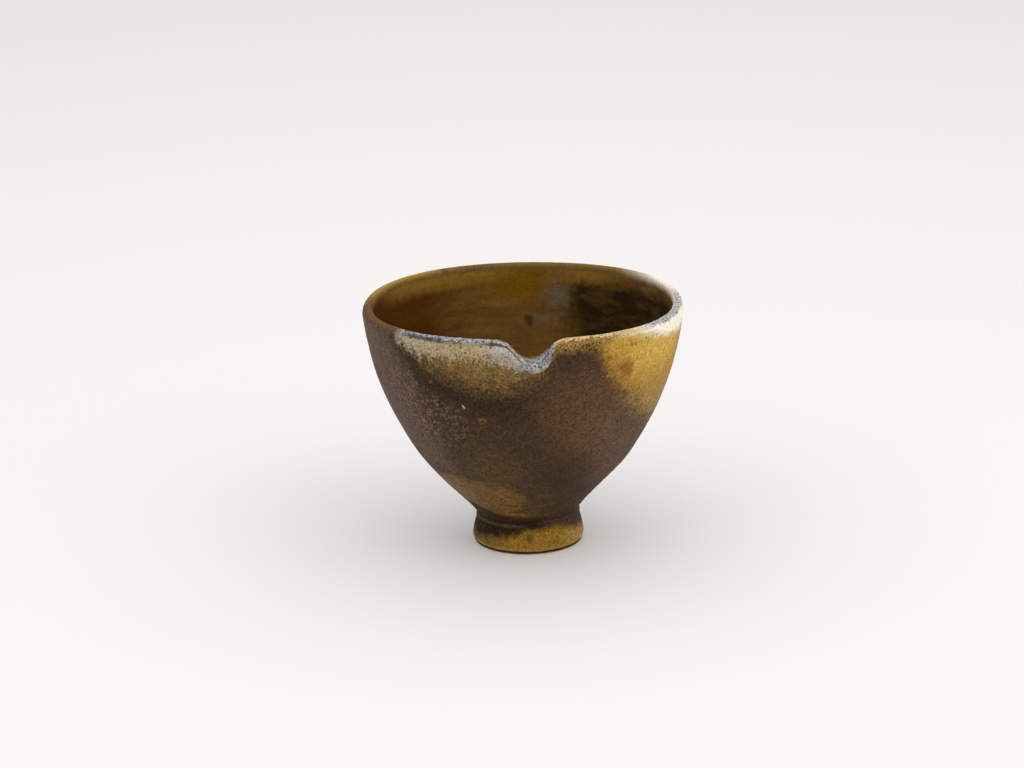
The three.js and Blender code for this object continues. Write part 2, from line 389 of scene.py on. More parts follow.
def soften(line, distance):
    """Rounds the corners of a line, whose ends stay."""
    even = spread(line, np.linspace(0, 1, int(runs(line)[-1] / SAMPLE)))
    reach = int(3 * distance / SAMPLE)
    weights = np.exp(-0.5 * (np.arange(-reach, reach + 1) * SAMPLE / distance)**2)
    padded = np.vstack([2 * even[0] - even[reach:0:-1], even, 2 * even[-1] - even[-2:-reach - 2:-1]])
    return np.stack([np.convolve(padded[:, k], weights / weights.sum(), "valid") for k in (0, 1)], axis=1)


def cut_by_knife(along):
    """Marks the samples over the lip that the knife takes away in one column."""
    run_out = max(0, abs(along) - NOTCH_RUN_OUT_START) / (NOTCH_REACH - NOTCH_RUN_OUT_START)
    top = LIP_CREST[1] + NOTCH_RUN_OUT * run_out**2
    inner_height = top - edge_depth(NOTCH_INNER, along)
    outer_height = top - edge_depth(NOTCH_OUTER, along)
    slope = (outer_height - inner_height) / LIP_THICKNESS
    knife = inner_height + (over_lip[:, 0] - inner_wall[0, 0]) * slope
    return np.flatnonzero((over_lip[:, 1] > knife) & (abs(along) < NOTCH_REACH))


def rows_over_lip(along):
    """One column's rows, with their share of the way across the lip and their distance below its edge."""
    base = runs(over_lip)
    line, starts, ends = over_lip, lip_starts, lip_ends
    taken = cut_by_knife(along)
    if len(taken):
        cut = np.linspace(over_lip[taken[0]], over_lip[taken[-1]], CUT_SAMPLES)
        line = np.vstack([over_lip[:taken[0]], cut, over_lip[taken[-1] + 1:]])
        starts, ends = min(starts, taken[0]), max(ends, taken[-1])
    whole = runs(line)[-1]
    outer_edge = base[starts]
    inner_edge = whole - (base[-1] - base[ends])
    run = np.concatenate([
        np.linspace(0, outer_edge, ROWS_TOP_OUTSIDE, endpoint=False),
        np.linspace(outer_edge, inner_edge, ROWS_LIP, endpoint=False),
        np.linspace(inner_edge, whole, ROWS_TOP_INSIDE),
    ])
    across = np.clip((run - outer_edge) / (inner_edge - outer_edge), 0, 1)
    return spread(soften(line, EDGE_SOFTNESS), run / whole), across, outer_edge - run


FAR_FROM_NOTCH = 2 * NOTCH_REACH
plain_top = rows_over_lip(FAR_FROM_NOTCH)[0]
print("rows over the lip", len(plain_top), "highest", plain_top[:, 1].max().round(2))

# %% Join the section and turn it
COLUMNS = 480


def low_rows(line, count):
    """Even rows along a line, without its last point."""
    return spread(np.array(line, dtype=float), np.linspace(0, 1, count, endpoint=False))


bowl_section = np.vstack([
    low_rows(UNDERSIDE, ROWS_UNDERSIDE),
    low_rows(outer_wall[outer_wall[:, 1] < TOP_START], ROWS_LOW_OUTSIDE),
    plain_top,
    low_rows(inner_wall[inner_wall[:, 1] < TOP_START], ROWS_LOW_INSIDE + 1)[1:],
    spread(floor_line, np.linspace(0, 1, ROWS_FLOOR + 1)),
])
FIRST_TOP_ROW = ROWS_UNDERSIDE + ROWS_LOW_OUTSIDE


def turn_on_wheel(name, section, columns):
    """Draws a section point by point, starting at the notch's side, and spins it round the axis."""
    start_radius, start_height = section[0] * MM
    bpy.ops.object.select_all(action="DESELECT")
    bpy.ops.mesh.primitive_plane_add(size=MM, location=(0, -start_radius, start_height))
    piece = bpy.context.object
    piece.name = name
    piece.data.name = name
    bpy.ops.object.transform_apply(location=True, rotation=True, scale=True)
    bpy.ops.object.mode_set(mode="EDIT")
    bpy.ops.mesh.select_all(action="SELECT")
    bpy.ops.mesh.merge(type="CENTER")
    for radius_step, height_step in np.diff(section, axis=0) * MM:
        bpy.ops.mesh.extrude_vertices_move(TRANSFORM_OT_translate={"value": (0, -radius_step, height_step)})
    bpy.ops.mesh.select_all(action="SELECT")
    bpy.ops.mesh.spin(steps=columns, angle=math.tau, use_auto_merge=True, center=(0, 0, 0), axis=(0, 0, 1))
    bpy.ops.mesh.select_all(action="SELECT")
    bpy.ops.mesh.remove_doubles(threshold=0.001 * MM)
    bpy.ops.mesh.normals_make_consistent(inside=False)
    bpy.ops.object.mode_set(mode="OBJECT")
    bpy.ops.object.shade_smooth()
    return piece


def points_of(piece):
    """The piece's points in millimetres."""
    flat = np.empty(len(piece.data.vertices) * 3)
    piece.data.vertices.foreach_get("co", flat)
    return flat.reshape(-1, 3) / MM


def move_points(piece, points):
    piece.data.vertices.foreach_set("co", (points * MM).ravel())
    piece.data.update()


bowl = turn_on_wheel("glazed_bowl", bowl_section, COLUMNS)
turned = points_of(bowl)
print("turned bowl:", len(turned), "points,", len(bowl.data.polygons), "faces,", len(bowl_section), "rows")

# %% Cut the notch, column by column
DEGREE = math.radians(1)


def angle_from_notch(points):
    """Degrees round from the notch, towards +X."""
    return np.degrees(np.arctan2(points[:, 0], -points[:, 1]))


def nearest_rows(points):
    """The section's row that each turned point belongs to."""
    tree = KDTree(len(bowl_section))
    for index, (radius, height) in enumerate(bowl_section):
        tree.insert((radius, height, 0), index)
    tree.balance()
    radii = np.hypot(points[:, 0], points[:, 1])
    return np.array([tree.find((radius, height, 0))[1] for radius, height in zip(radii, points[:, 2])])


section_runs = runs(bowl_section)
edge_row = FIRST_TOP_ROW + ROWS_TOP_OUTSIDE
row_across = np.clip((np.arange(len(bowl_section)) - edge_row) / ROWS_LIP, 0, 1)
row_below = section_runs[edge_row] - section_runs
rows = nearest_rows(turned)
angles = angle_from_notch(turned)
across = row_across[rows]
below_edge = row_below[rows]
top_rows = (rows >= FIRST_TOP_ROW) & (rows < FIRST_TOP_ROW + len(plain_top))
columns = np.round(angles * COLUMNS / 360).astype(int)
reach = int(NOTCH_REACH / (RIM_RADIUS / MM) / math.tau * COLUMNS)
cut = turned.copy()
for column in range(-reach, reach + 1):
    angle = column * math.tau / COLUMNS
    here = np.flatnonzero(top_rows & (columns == column))
    places, share, below = rows_over_lip(angle * RIM_RADIUS / MM)
    own = rows[here] - FIRST_TOP_ROW
    cut[here, 0] = places[own, 0] * math.sin(angle)
    cut[here, 1] = -places[own, 0] * math.cos(angle)
    cut[here, 2] = places[own, 1]
    across[here] = share[own]
    below_edge[here] = below[own]
deepest = (turned[:, 2] - cut[:, 2]).max().round(2)
print("notch columns", 2 * reach + 1, "and their rows are lowered by up to", deepest, "mm")

# %% [markdown]
# No thrown pot is truly round. The rim rises and dips by a few tenths of a millimetre, the axis drifts, and
# the fingers leave a soft spiral inside. The surface itself is never smooth either: the clay holds coarse
# grains, and ash lands on it as a crust that is thickest along the rim. All this is real relief, so it goes
# into the mesh. Only what is finer than the mesh is left to the bump of the finish.

# %% Move the wall as the hands did
RIM_TILT = (0.17, -6)  # how far, and the lowest side in degrees
RIM_WAVE = (0.14, -18)
RIM_LOBES = (0.34, -7)  # three rises round the rim
BOWL_OFFSET = 0.35  # the bowl stands a little beside its foot
BOWL_OFFSET_END = 0.2
SEAM_TILT = 0.5
SEAM_TILT_END = 0.25
NECK_RADIUS = WALL_POINTS[0][0]
RISE_START = 0.25  # the rim's unevenness begins at this share of the height
FINGER_MARK_PITCH = 8.5
FINGER_MARK_DEPTH = 0.08
FINGER_MARKS = (0.15, 0.3, 0.85, 0.95)  # shares of the height between which they rise, stay and fade


def smoothstep(value, low, high):
    share = np.clip((value - low) / (high - low), 0, 1)
    return share * share * (3 - 2 * share)


def band(value, start, full, fade, end):
    """1 from full to fade, and 0 before the start and after the end."""
    return smoothstep(value, start, full) * smoothstep(value, end, fade)


def seam_rise(points):
    """The seam is not quite level: this lifts both pieces alike at the seam and nothing at the base."""
    up = (points[:, 2] * MM - SEAM_HEIGHT) / (LIP_HEIGHT - SEAM_HEIGHT)
    share = np.where(up < 0, points[:, 2] * MM / SEAM_HEIGHT, np.maximum(0, 1 - up / SEAM_TILT_END))
    return SEAM_TILT * share * points[:, 0] / NECK_RADIUS


def throw_by_hand(points):
    height = points[:, 2]
    up = np.maximum(0, (height - SEAM_HEIGHT / MM) / ((LIP_HEIGHT - SEAM_HEIGHT) / MM))
    rise = -RIM_TILT[0] * np.cos((angles - RIM_TILT[1]) * DEGREE)
    rise += RIM_WAVE[0] * np.cos(2 * (angles - RIM_WAVE[1]) * DEGREE)
    rise += RIM_LOBES[0] * np.cos(3 * (angles - RIM_LOBES[1]) * DEGREE)
    radii = np.hypot(points[:, 0], points[:, 1]).clip(0.001)
    turns = height / FINGER_MARK_PITCH + angles / 360
    strength = FINGER_MARK_DEPTH * band(up, *FINGER_MARKS) * across
    stretch = 1 + strength * np.sin(math.tau * turns) / radii
    moved = points * np.stack([stretch, stretch, np.ones_like(stretch)], axis=1)
    moved[:, 0] -= BOWL_OFFSET * smoothstep(up, 0, BOWL_OFFSET_END)
    moved[:, 2] += smoothstep(up, RISE_START, 1) * rise + seam_rise(points)
    return moved


move_points(bowl, throw_by_hand(cut))
print("highest point of the rim", points_of(bowl)[:, 2].max().round(2), "mm")

# %% Raise the crust and the grain
WEIGHT_LEVELS = 10
CLEAR_OF_SEAM = (11, 15)
CRUST_WIDTH = (4.5, 1)  # below the lip's edge
CRUST_AT_LEFT = (-62, -50, 4, 12)  # degrees from the notch
CRUST_AT_RIGHT = (35, 60, 95, 125)
INNER_GRAIN = 0.35  # of the grain outside


def relief(piece, name, weights, size, depth, rest):
    """Moves the skin in and out by a cloudy pattern, where the weights allow it."""
    pattern = bpy.data.textures.new(name, "CLOUDS")
    pattern.noise_scale = size * MM
    pattern.noise_depth = 2
    group = piece.vertex_groups.new(name=name)
    for level in range(1, WEIGHT_LEVELS + 1):
        chosen = np.flatnonzero(np.round(weights * WEIGHT_LEVELS) == level)
        group.add(chosen.tolist(), level / WEIGHT_LEVELS, "REPLACE")
    mover = piece.modifiers.new(name, "DISPLACE")
    mover.texture = pattern
    mover.texture_coords = "LOCAL"
    mover.strength = depth * MM
    mover.mid_level = rest
    mover.vertex_group = name
    bpy.ops.object.select_all(action="DESELECT")
    piece.select_set(True)
    bpy.context.view_layer.objects.active = piece
    bpy.ops.object.modifier_apply(modifier=name)


clear_of_seam = smoothstep(cut[:, 2], *CLEAR_OF_SEAM)
grained = clear_of_seam * (INNER_GRAIN + (1 - INNER_GRAIN) * (1 - across))
near_edge = smoothstep(below_edge, *CRUST_WIDTH) * smoothstep(across, 1, 0.8)
crusted = near_edge * np.maximum(band(angles, *CRUST_AT_LEFT), band(angles, *CRUST_AT_RIGHT))
relief(bowl, "slow_waves", clear_of_seam, size=16, depth=0.3, rest=0.62)
relief(bowl, "clay_grain", grained, size=1.5, depth=0.13, rest=0.7)
relief(bowl, "ash_crust", crusted, size=1.1, depth=0.42, rest=0.72)
for name, values in (("across_lip", across), ("below_edge", below_edge)):
    bowl.data.attributes.new(name, "FLOAT", "POINT").data.foreach_set("value", values)
print("crusted points", int((crusted > 0.5).sum()))

# %% [markdown]
# ## The foot ring
# The foot is a separate coil of clay, luted on and turned to shape: a flared ring with a small rounded
# arris, a waist, and under the seam a fine ridge and a groove where the tool ended. It is spun from a closed
# section in the same way as the bowl.

# %% Turn the foot ring
FOOT_COLUMNS = 300
FOOT_OUTSIDE = (
    (16.55, 0.8), (16.95, 2.3), (16.8, 3.5), (16.25, 5.9), (15.7, 8), (15.82, 8.7), (15.4, 9.5), (15.45, 10),
)
FOOT_BORE = ((10.65, 10), (10.95, 5.4), (11.65, 0.6))
FOOT_BASE = ((12.2, 0), (15.85, 0))
FOOT_ARRIS = ((15.85, 0), (16.2, 0.12), (16.45, 0.4), (16.55, 0.8))
FOOT_RELIEF = (0.1, 0.8, 9.4, 9.9)  # heights between which the skin may move
ROWS_FLAT = 8  # on the base, and again at the seam
ROWS_ARRIS = 6
ROWS_FOOT_OUTSIDE = 40
ROWS_BORE = 16

foot_section = np.vstack([
    low_rows(FOOT_BASE, ROWS_FLAT),
    smooth_curve(FOOT_ARRIS, ROWS_ARRIS)[:-1],
    smooth_curve(FOOT_OUTSIDE, ROWS_FOOT_OUTSIDE),
    low_rows((FOOT_OUTSIDE[-1], FOOT_BORE[0]), ROWS_FLAT)[1:],
    smooth_curve(FOOT_BORE, ROWS_BORE),
    FOOT_BASE[:1],
])
foot = turn_on_wheel("turned_foot", foot_section, FOOT_COLUMNS)
foot_points = points_of(foot)
foot_points[:, 2] += seam_rise(foot_points)
move_points(foot, foot_points)
foot_free = band(foot_points[:, 2], *FOOT_RELIEF)
relief(foot, "tool_waves", foot_free, size=7, depth=0.16, rest=0.7)
relief(foot, "foot_grain", foot_free, size=1.2, depth=0.08, rest=0.75)
print("foot ring:", len(foot_points), "points")

# %% Put the pieces in place of the frame's parts
for piece, node, slot in ((bowl, "bowl", "ash_glaze"), (foot, "foot_ring", "flashed_clay")):
    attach(piece, "root")
    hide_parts(node)
    print(piece.name, "replaces", node)

# %% [markdown]
# ## The fired skin
# Nobody painted this pot. Its colours come from the fire: bare clay flashes brown, ash that lands thinly
# melts to olive and gold, and where it lies thickest, along the rim, it stays cream and grey. So the finish
# is built as the kiln built it, from the clay upwards: a brown ground with its grain, the places that the
# flame reached, then thin ash, thick ash and at last the dry crust. Each layer is laid by a mask, and each
# mask has a frayed edge, because nothing in a wood kiln ends in a clean line.
#
# Places on the wall are given as an arc and a height, both in millimetres. The arc runs from the notch
# towards +X for what is outside, and from the middle of the back wall for what is inside.

# %% Colours and masks
ARC = 0.8 * 180 / math.pi  # an angle round the pot becomes millimetres along its belly
GLAZE_SHEEN = 0.06
FRAY_REACH = 3
DRIFT_SIZE = 9
DRIFT_REACH = 3.2


def tone(red, green, blue):
    """A colour from the levels that a screen shows it with."""
    shares = [level / 255 for level in (red, green, blue)]
    return tuple(share / 12.92 if share < 0.04 else ((share + 0.055) / 1.055)**2.4 for share in shares) + (1,)


class Skin(Finish):
    """A finish laid down in layers, with places in millimetres."""

    def __init__(self, name):
        self.material = bpy.data.materials.new(name)
        super().__init__(self.material)
        metres = self.add("TexCoord", output="Object")
        self.place = self.add("VectorMath", {"operation": "SCALE"}, {0: metres, "Scale": 1 / MM})
        self.x, self.y, self.height = (
            self.add("SeparateXYZ", inputs={0: self.place}, output=axis) for axis in "XYZ"
        )
        self.drift = self.vector_noise(DRIFT_SIZE, DRIFT_REACH)
        self.fray = (self.noise(2.2, detail=5, roughness=0.65) - 0.5) * FRAY_REACH

    def shade(self, colour, strength):
        return self.add("VectorMath", {"operation": "SCALE"}, {0: colour, "Scale": strength})

    def noise(self, size, detail=3, roughness=0.55, stretch=(1, 1, 1), shift=0):
        moved = {0: self.place, "Location": (shift, 0, 0), "Scale": stretch}
        place = self.add("Mapping", inputs=moved)
        return self.add("TexNoise", inputs={
            "Vector": place, "Scale": 1 / size, "Detail": detail, "Roughness": roughness,
        })

    def vector_noise(self, size, reach):
        """A vector that strays by about the reach in every direction."""
        pattern = {"Vector": self.place, "Scale": 1 / size, "Detail": 2}
        colour = self.add("TexNoise", inputs=pattern, output="Color")
        centred = self.add("VectorMath", {"operation": "SUBTRACT"}, {0: colour, 1: (0.5, 0.5, 0.5)})
        return self.add("VectorMath", {"operation": "SCALE"}, {0: centred, "Scale": 2 * reach})

    def dots(self, spacing, size, shift=0):
        """Scattered round dots: 1 in the middle of each."""
        place = self.add("Mapping", inputs={0: self.place, "Location": (shift, 0, 0)})
        pattern = {"Vector": place, "Scale": 1 / spacing}
        distance = self.add("TexVoronoi", inputs=pattern, output="Distance")
        return (distance * spacing).step(size, 0.5 * size)

    def around(self, front):
        """The arc from the notch, or from the middle of the back wall."""
        y = -1 * self.y if front else self.y
        return self.math("ARCTAN2", self.x + BOWL_OFFSET, y) * ARC

    def chart(self, around):
        """The wall laid flat: arc and height, wandering a little."""
        flat = self.add("CombineXYZ", inputs={0: around, 1: self.height})
        return self.add("VectorMath", {"operation": "ADD"}, {0: flat, 1: self.drift})

    def patch(self, chart, middle, size, turn=0, soft=0.3, ragged=0.25):
        """An oval patch on the flat wall, with a frayed edge."""
        local = self.add("Mapping", {"vector_type": "TEXTURE"}, {
            0: chart, "Location": (*middle, 0), "Rotation": (0, 0, math.radians(turn)), "Scale": (*size, 1),
        })
        level = self.add("VectorMath", {"operation": "MULTIPLY"}, {0: local, 1: (1, 1, 0)})
        distance = self.add("VectorMath", {"operation": "LENGTH"}, {0: level}, "Value")
        return (distance + self.fray * ragged).step(1 + soft, 1 - soft)

    def curve(self, value, points):
        """A drawn curve through the points, which goes straight on beyond its ends."""
        (left, _), (right, _) = points[0], points[-1]
        heights = [height for _, height in points]
        bottom, top = min(heights), max(heights)
        node_name = f"curve_{len(self.tree.nodes)}"
        share = (value - left) * (1 / (right - left))
        result = self.add("FloatCurve", {"name": node_name}, {"Value": share})
        mapping = self.tree.nodes[node_name].mapping
        line = mapping.curves[0]
        for point, (position, height) in zip(line.points, (points[0], points[-1])):
            point.location = ((position - left) / (right - left), (height - bottom) / (top - bottom))
        for position, height in points[1:-1]:
            line.points.new((position - left) / (right - left), (height - bottom) / (top - bottom))
        mapping.update()
        return result * (top - bottom) + bottom

    def finish(self, colour, roughness, bump, bump_depth):
        relief_map = {"Height": bump, "Distance": bump_depth * MM, "Strength": 1.0}
        normal = self.add("Bump", inputs=relief_map)
        shader = self.add("BsdfPrincipled", inputs={
            "Base Color": colour, "Roughness": roughness, "Normal": normal, "Specular IOR Level": GLAZE_SHEEN,
        })
        self.add("OutputMaterial", inputs={"Surface": shader}, output=None)
        return self.material


bowl_skin = Skin("ash_glaze")
front_arc = bowl_skin.around(front=True)
front = bowl_skin.chart(front_arc)
back_arc = bowl_skin.around(front=False)
back = bowl_skin.chart(back_arc)
across_lip = bowl_skin.add("Attribute", {"attribute_name": "across_lip"}, output="Fac")
below_lip = bowl_skin.add("Attribute", {"attribute_name": "below_edge"}, output="Fac")
print("masks ready:", len(bowl_skin.tree.nodes), "nodes")

# %% [markdown]
# The ground is clay that the flame has browned. It is never even: iron in the clay shows as a redder area,
# the side turned away from the fire stays a dry purplish brown, and coarse grains stand pale and dark in it
# everywhere. Two grains of different size are kept for all the layers, so that the skin has one texture.

# %% Lay the browned clay
fine_grain = bowl_skin.noise(0.62, detail=3, roughness=0.75)
coarse_grain = bowl_skin.noise(1.5, detail=4, roughness=0.7, shift=30)
fine = fine_grain - 0.5  # both grains again, centred on zero
coarse = coarse_grain - 0.5
clouds = bowl_skin.noise(9, detail=4, roughness=0.55, shift=60)
pale_dots = bowl_skin.dots(1.25, 0.2)
dark_dots = bowl_skin.dots(1.7, 0.26, shift=11)
pits = bowl_skin.dots(1.9, 0.42, shift=23)

BROWN = tone(66, 49, 34)
DEEP_BROWN = tone(50, 37, 26)
IRON_BROWN = tone(92, 66, 45)
WARM_BROWN = tone(96, 74, 56)
DRY_BROWN = tone(90, 71, 58)
DRY_SHADE = tone(74, 56, 42)
DRY_FLECK = tone(124, 98, 78)
REDDER_AREAS = (
    # colour, middle, size, turn, strength
    (IRON_BROWN, (17, 52), (13, 13), 0, 0.75),
    (WARM_BROWN, (32, 40), (16, 12), -40, 0.8),
    (WARM_BROWN, (64, 38), (24, 22), 0, 0.6),
)
DRY_LINE_SLOPE = 0.35


def browned_clay(skin):
    colour = skin.mix(BROWN, DEEP_BROWN, clouds.step(0.44, 0.7) * 0.45)
    for redder, middle, size, turn, strength in REDDER_AREAS:
        colour = skin.mix(colour, redder, skin.patch(front, middle, size, turn, soft=0.6) * strength)
    dry_line = front_arc + (skin.height - 50) * DRY_LINE_SLOPE + skin.fray * 4
    dry_side = dry_line.step(-30, -44) * skin.height.step(22, 34)
    dry_side = dry_side * (front_arc + skin.fray * 6).step(-134, -100)
    shaded = (clouds + coarse * 0.5).step(0.48, 0.66) * front_arc.step(-44, -60)
    flecked = skin.patch(front, (-36, 53), (15, 8), turn=-40, soft=0.7, ragged=0.5)
    crumbs = (coarse_grain * 0.5 + fine_grain * 0.5).step(0.48, 0.6)
    return skin.layers(
        colour,
        (skin.mix(DRY_BROWN, DRY_SHADE, shaded), dry_side),
        (DRY_FLECK, flecked * crumbs * 0.6),
    )


ground = browned_clay(bowl_skin)
print("ground laid:", len(bowl_skin.tree.nodes), "nodes")

# %% [markdown]
# Ash that landed thinly melted to olive on the left of the notch and to a bright mustard gold on the right.
# The lower edge of each is a drawn curve on the wall. Below the olive, the glaze has starved the clay to a
# dark band. Low on the front a khaki patch of thin ash ends in a band of painted shade above the foot, where
# the belly curves under.

# %% Lay the thin ash
OLIVE_EDGE = (
    (-42.6, 75), (-40, 73), (-36.8, 68.5), (-33, 63.5), (-28.2, 61.4), (-22.7, 59.6), (-17.6, 57.6),
    (-10.9, 57), (-5.1, 58), (-0.8, 59.6), (2.7, 62), (5.5, 66), (8, 75),
)
GOLD_EDGE = (
    (14, 77), (17.4, 73.3), (19.4, 70), (22, 63.4), (27.6, 57.6), (37.2, 50.8), (50, 45.4), (64, 44),
    (84, 49), (96, 61), (104, 77),
)
KHAKI_EDGE = (
    (-62, 20), (-50, 26), (-30, 27.5), (-18.6, 27), (-7.7, 24.6), (-0.5, 19.8), (8, 13.5), (14, 10),
)
SHADE_EDGE = ((-66, 19), (-46, 16), (-30, 13.6), (-10, 12.4), (24, 12))
OLIVE = tone(118, 95, 55)
DEEP_OLIVE = tone(78, 60, 34)
OLIVE_BROWN = tone(104, 76, 36)
GOLD = tone(166, 129, 54)
BRIGHT_GOLD = tone(198, 161, 72)
BROWN_GOLD = tone(124, 92, 45)
DULL_GOLD = tone(154, 124, 68)
RUST = tone(138, 92, 34)
FLECK_ORANGE = tone(196, 146, 78)
KHAKI = tone(108, 81, 40)
PALE_KHAKI = tone(116, 93, 60)
SOFT_KHAKI = tone(80, 61, 36)
# painted shade for the low belly, where the wall curves under towards the foot
UNDER_BELLY_SHADE = tone(48, 34, 20)
OLIVE_STREAK = tone(82, 63, 34)


def olive_ash(skin, colour):
    above_edge = skin.height - skin.curve(front_arc, OLIVE_EDGE) + skin.fray * 1.1
    starved = above_edge.step(-9, -2.5) * front_arc.between(-46, -42, -8, 2)
    browner = skin.noise(5, detail=4, stretch=(1, 1, 2.2), shift=90)
    olive = skin.layers(
        DEEP_OLIVE,
        (OLIVE, (above_edge + coarse * 16).step(2, 8)),
        (OLIVE_BROWN, browner.step(0.5, 0.64) * 0.8),
    )
    return skin.layers(colour, (DEEP_BROWN, starved * 0.9), (olive, (above_edge + fine * 9).step(-1.2, 2.4)))


def gold_ash(skin, colour):
    above_edge = skin.height - skin.curve(front_arc, GOLD_EDGE) + skin.fray * 2
    gold = skin.layers(
        BROWN_GOLD,
        (GOLD, (above_edge + coarse * 9).step(-2, 8)),
        (DULL_GOLD, (skin.height + skin.fray * 3).step(58, 48)),
        (BRIGHT_GOLD, skin.patch(front, (44, 69), (15, 9), soft=0.6)),
        (RUST, skin.patch(front, (28.6, 64), (2.1, 3), turn=20, soft=0.5, ragged=0.5) * 0.85),
        (RUST, skin.patch(front, (24.5, 66), (3.6, 2.4), turn=-30, soft=0.6, ragged=0.6) * 0.5),
    )
    return skin.mix(colour, gold, (above_edge + fine * 5 + coarse * 6).step(-6, 4))


def low_khaki(skin, colour):
    streaks = skin.noise(1.3, detail=4, roughness=0.6, stretch=(0.16, 0.16, 1), shift=70) - 0.5
    khaki = skin.layers(
        KHAKI,
        (PALE_KHAKI, (front_arc + skin.fray * 3).step(-26, -40)),
        (SOFT_KHAKI, (front_arc + streaks * 30).step(-9, 3)),
        (SOFT_KHAKI, streaks.step(0.02, 0.16) * 0.7),
    )
    below_edge = skin.curve(front_arc, KHAKI_EDGE) - skin.height + skin.fray * 1.4 + streaks * 10
    right_streaks = skin.patch(front, (6, 18), (12, 7), turn=-18, soft=0.7, ragged=0.6)
    # painted shade: a dark band low on the belly above the foot, where the wall curves under
    shade = (skin.height - skin.curve(front_arc, SHADE_EDGE) + skin.fray * 0.6).step(0.8, -1)
    shade = shade * front_arc.step(24, 6) * (front_arc + skin.fray * 4).step(-100, -70)
    return skin.layers(
        colour,
        (SOFT_KHAKI, skin.patch(front, (-15, 32), (12, 7), turn=-8, soft=0.8, ragged=0.5)),
        (OLIVE_STREAK, right_streaks * streaks.step(-0.12, 0.1) * 0.8),
        (khaki, below_edge.step(-1.2, 2.2) * front_arc.step(-72, -54)),
        (UNDER_BELLY_SHADE, shade * 0.9),
    )


def flecks(skin, colour):
    """The few grains that burned orange."""
    ring = skin.patch(front, (-16.6, 49.8), (1.2, 1), soft=0.6, ragged=0.6)
    ring = ring - skin.patch(front, (-16.4, 49.6), (0.5, 0.4), soft=0.5, ragged=0.3) * 0.8
    spots = skin.patch(front, (-31, 60), (0.5, 0.6), soft=0.6, ragged=0.4)
    spots = spots.larger(skin.patch(front, (-22.5, 66.8), (0.8, 1), soft=0.6, ragged=0.4))
    return skin.layers(
        colour,
        (RUST, (ring * 0.42).larger(spots * 0.38)),
        (FLECK_ORANGE, skin.patch(front, (-21.9, 54.2), (0.24, 0.62), turn=25, soft=0.4, ragged=0.15)),
    )


ashed = ground
for lay in (olive_ash, gold_ash, low_khaki, flecks):
    ashed = lay(bowl_skin, ashed)
print("thin ash laid:", len(bowl_skin.tree.nodes), "nodes")

# %% [markdown]
# Along the rim the ash lies thick. It is a cream band with black pinholes in it on the left, a broad cream
# splash at the right and a thin gold lip right of the notch. Its width follows a curve round the rim, and it
# is measured from the lip's own edge, which also leads it down into the notch.

# %% Lay the thick ash
CREAM_WIDTH = (
    (-44, -1), (-40.5, 0.6), (-36, 2.4), (-26, 3.4), (-18, 3), (-11, 3.4), (-6.5, 4.2), (-3.5, 2.2),
    (-1.5, -0.6), (6, -1), (20, -1), (27, -0.7), (33, -0.3), (38, 0.4), (44, 1.6), (52, 3), (60, 3.4),
    (72, 2.8), (90, 0.6), (104, -1),
)
CREAM = tone(168, 151, 116)
GREY_CREAM = tone(158, 151, 138)
WHITE_CREAM = tone(250, 241, 224)
BRIGHT_CREAM = tone(196, 191, 178)
GOLD_CREAM = tone(210, 185, 132)
HALO_GOLD = tone(148, 114, 60)
CHAR = tone(40, 34, 30)
SCRATCHES = (
    # middle, size, turn
    ((29.9, 70.9), (0.4, 0.55), 30),
    ((33.2, 70.6), (1.2, 0.16), -12),
    ((36.1, 69.4), (0.18, 1), 0),
)


def cream_colour(skin, right):
    near_crust = (below_lip + skin.fray * 0.8 + coarse * 3).step(2, 0.2)
    near_crust = near_crust * (front_arc + skin.fray * 3).step(-17, -9)
    return skin.layers(
        CREAM,
        (GREY_CREAM, (front_arc + skin.fray * 2).step(-15, -8)),
        (OLIVE, coarse_grain.step(0.5, 0.64) * 0.6),
        (BRIGHT_CREAM, near_crust * 0.6),
        (GREY_CREAM, front_arc.step(-26, -35) * 0.45),
        (skin.mix(GOLD_CREAM, WHITE_CREAM, front_arc.step(33, 45)), right),
    )


def thick_ash(skin, colour):
    width = skin.curve(front_arc, CREAM_WIDTH)
    cover = width - below_lip + skin.fray * 1.6
    right = front_arc.step(14, 24)
    left_cover = (cover + coarse * 9 + fine * 6).step(-2.2, 1.6)
    right_cover = (cover + fine * 2).step(-1.8, 1.4)
    thickness = (left_cover + (right_cover - left_cover) * right) * width.step(-0.9, 0)
    halo = front_arc.step(4.5, 7.5) * (front_arc + skin.fray * 3).step(22, 9)
    halo = halo * (below_lip + skin.fray * 1.5).step(3, 0)
    colour = skin.layers(
        colour,
        (cream_colour(skin, right), thickness),
        (HALO_GOLD, halo * fine_grain.step(0.38, 0.54)),
    )
    for middle, size, turn in SCRATCHES:
        colour = skin.mix(colour, BROWN, skin.patch(front, middle, size, turn, soft=0.7, ragged=0.3) * 0.5)
    pinholes = pits * front_arc.between(-40, -34, 60, 72) * (below_lip + skin.fray).step(3.4, 1.2)
    return skin.mix(colour, CHAR, pinholes * 0.9)


outer = thick_ash(bowl_skin, ashed)
print("thick ash laid:", len(bowl_skin.tree.nodes), "nodes")

# %% [markdown]
# Inside, less ash landed. The back wall caught an olive-gold pool with a lavender haze beside it, and the
# left side is a clear amber brown. The right side is painted almost black, as painted shade on the wall that
# faces away from the key lamp. The fingers have left faint level lines.

# %% Lay the inside
INNER_BROWN = tone(106, 74, 31)
AMBER = tone(82, 46, 2)
# painted shade for the inside wall that faces away from the key lamp
INNER_PAINTED_SHADE = tone(42, 26, 7)
INNER_OLIVE = tone(142, 104, 36)
POOL_GOLD = tone(116, 81, 5)
LAVENDER = tone(108, 90, 68)
POOL_SPOT = tone(60, 38, 3)
FLOOR_BROWN = tone(78, 58, 28)


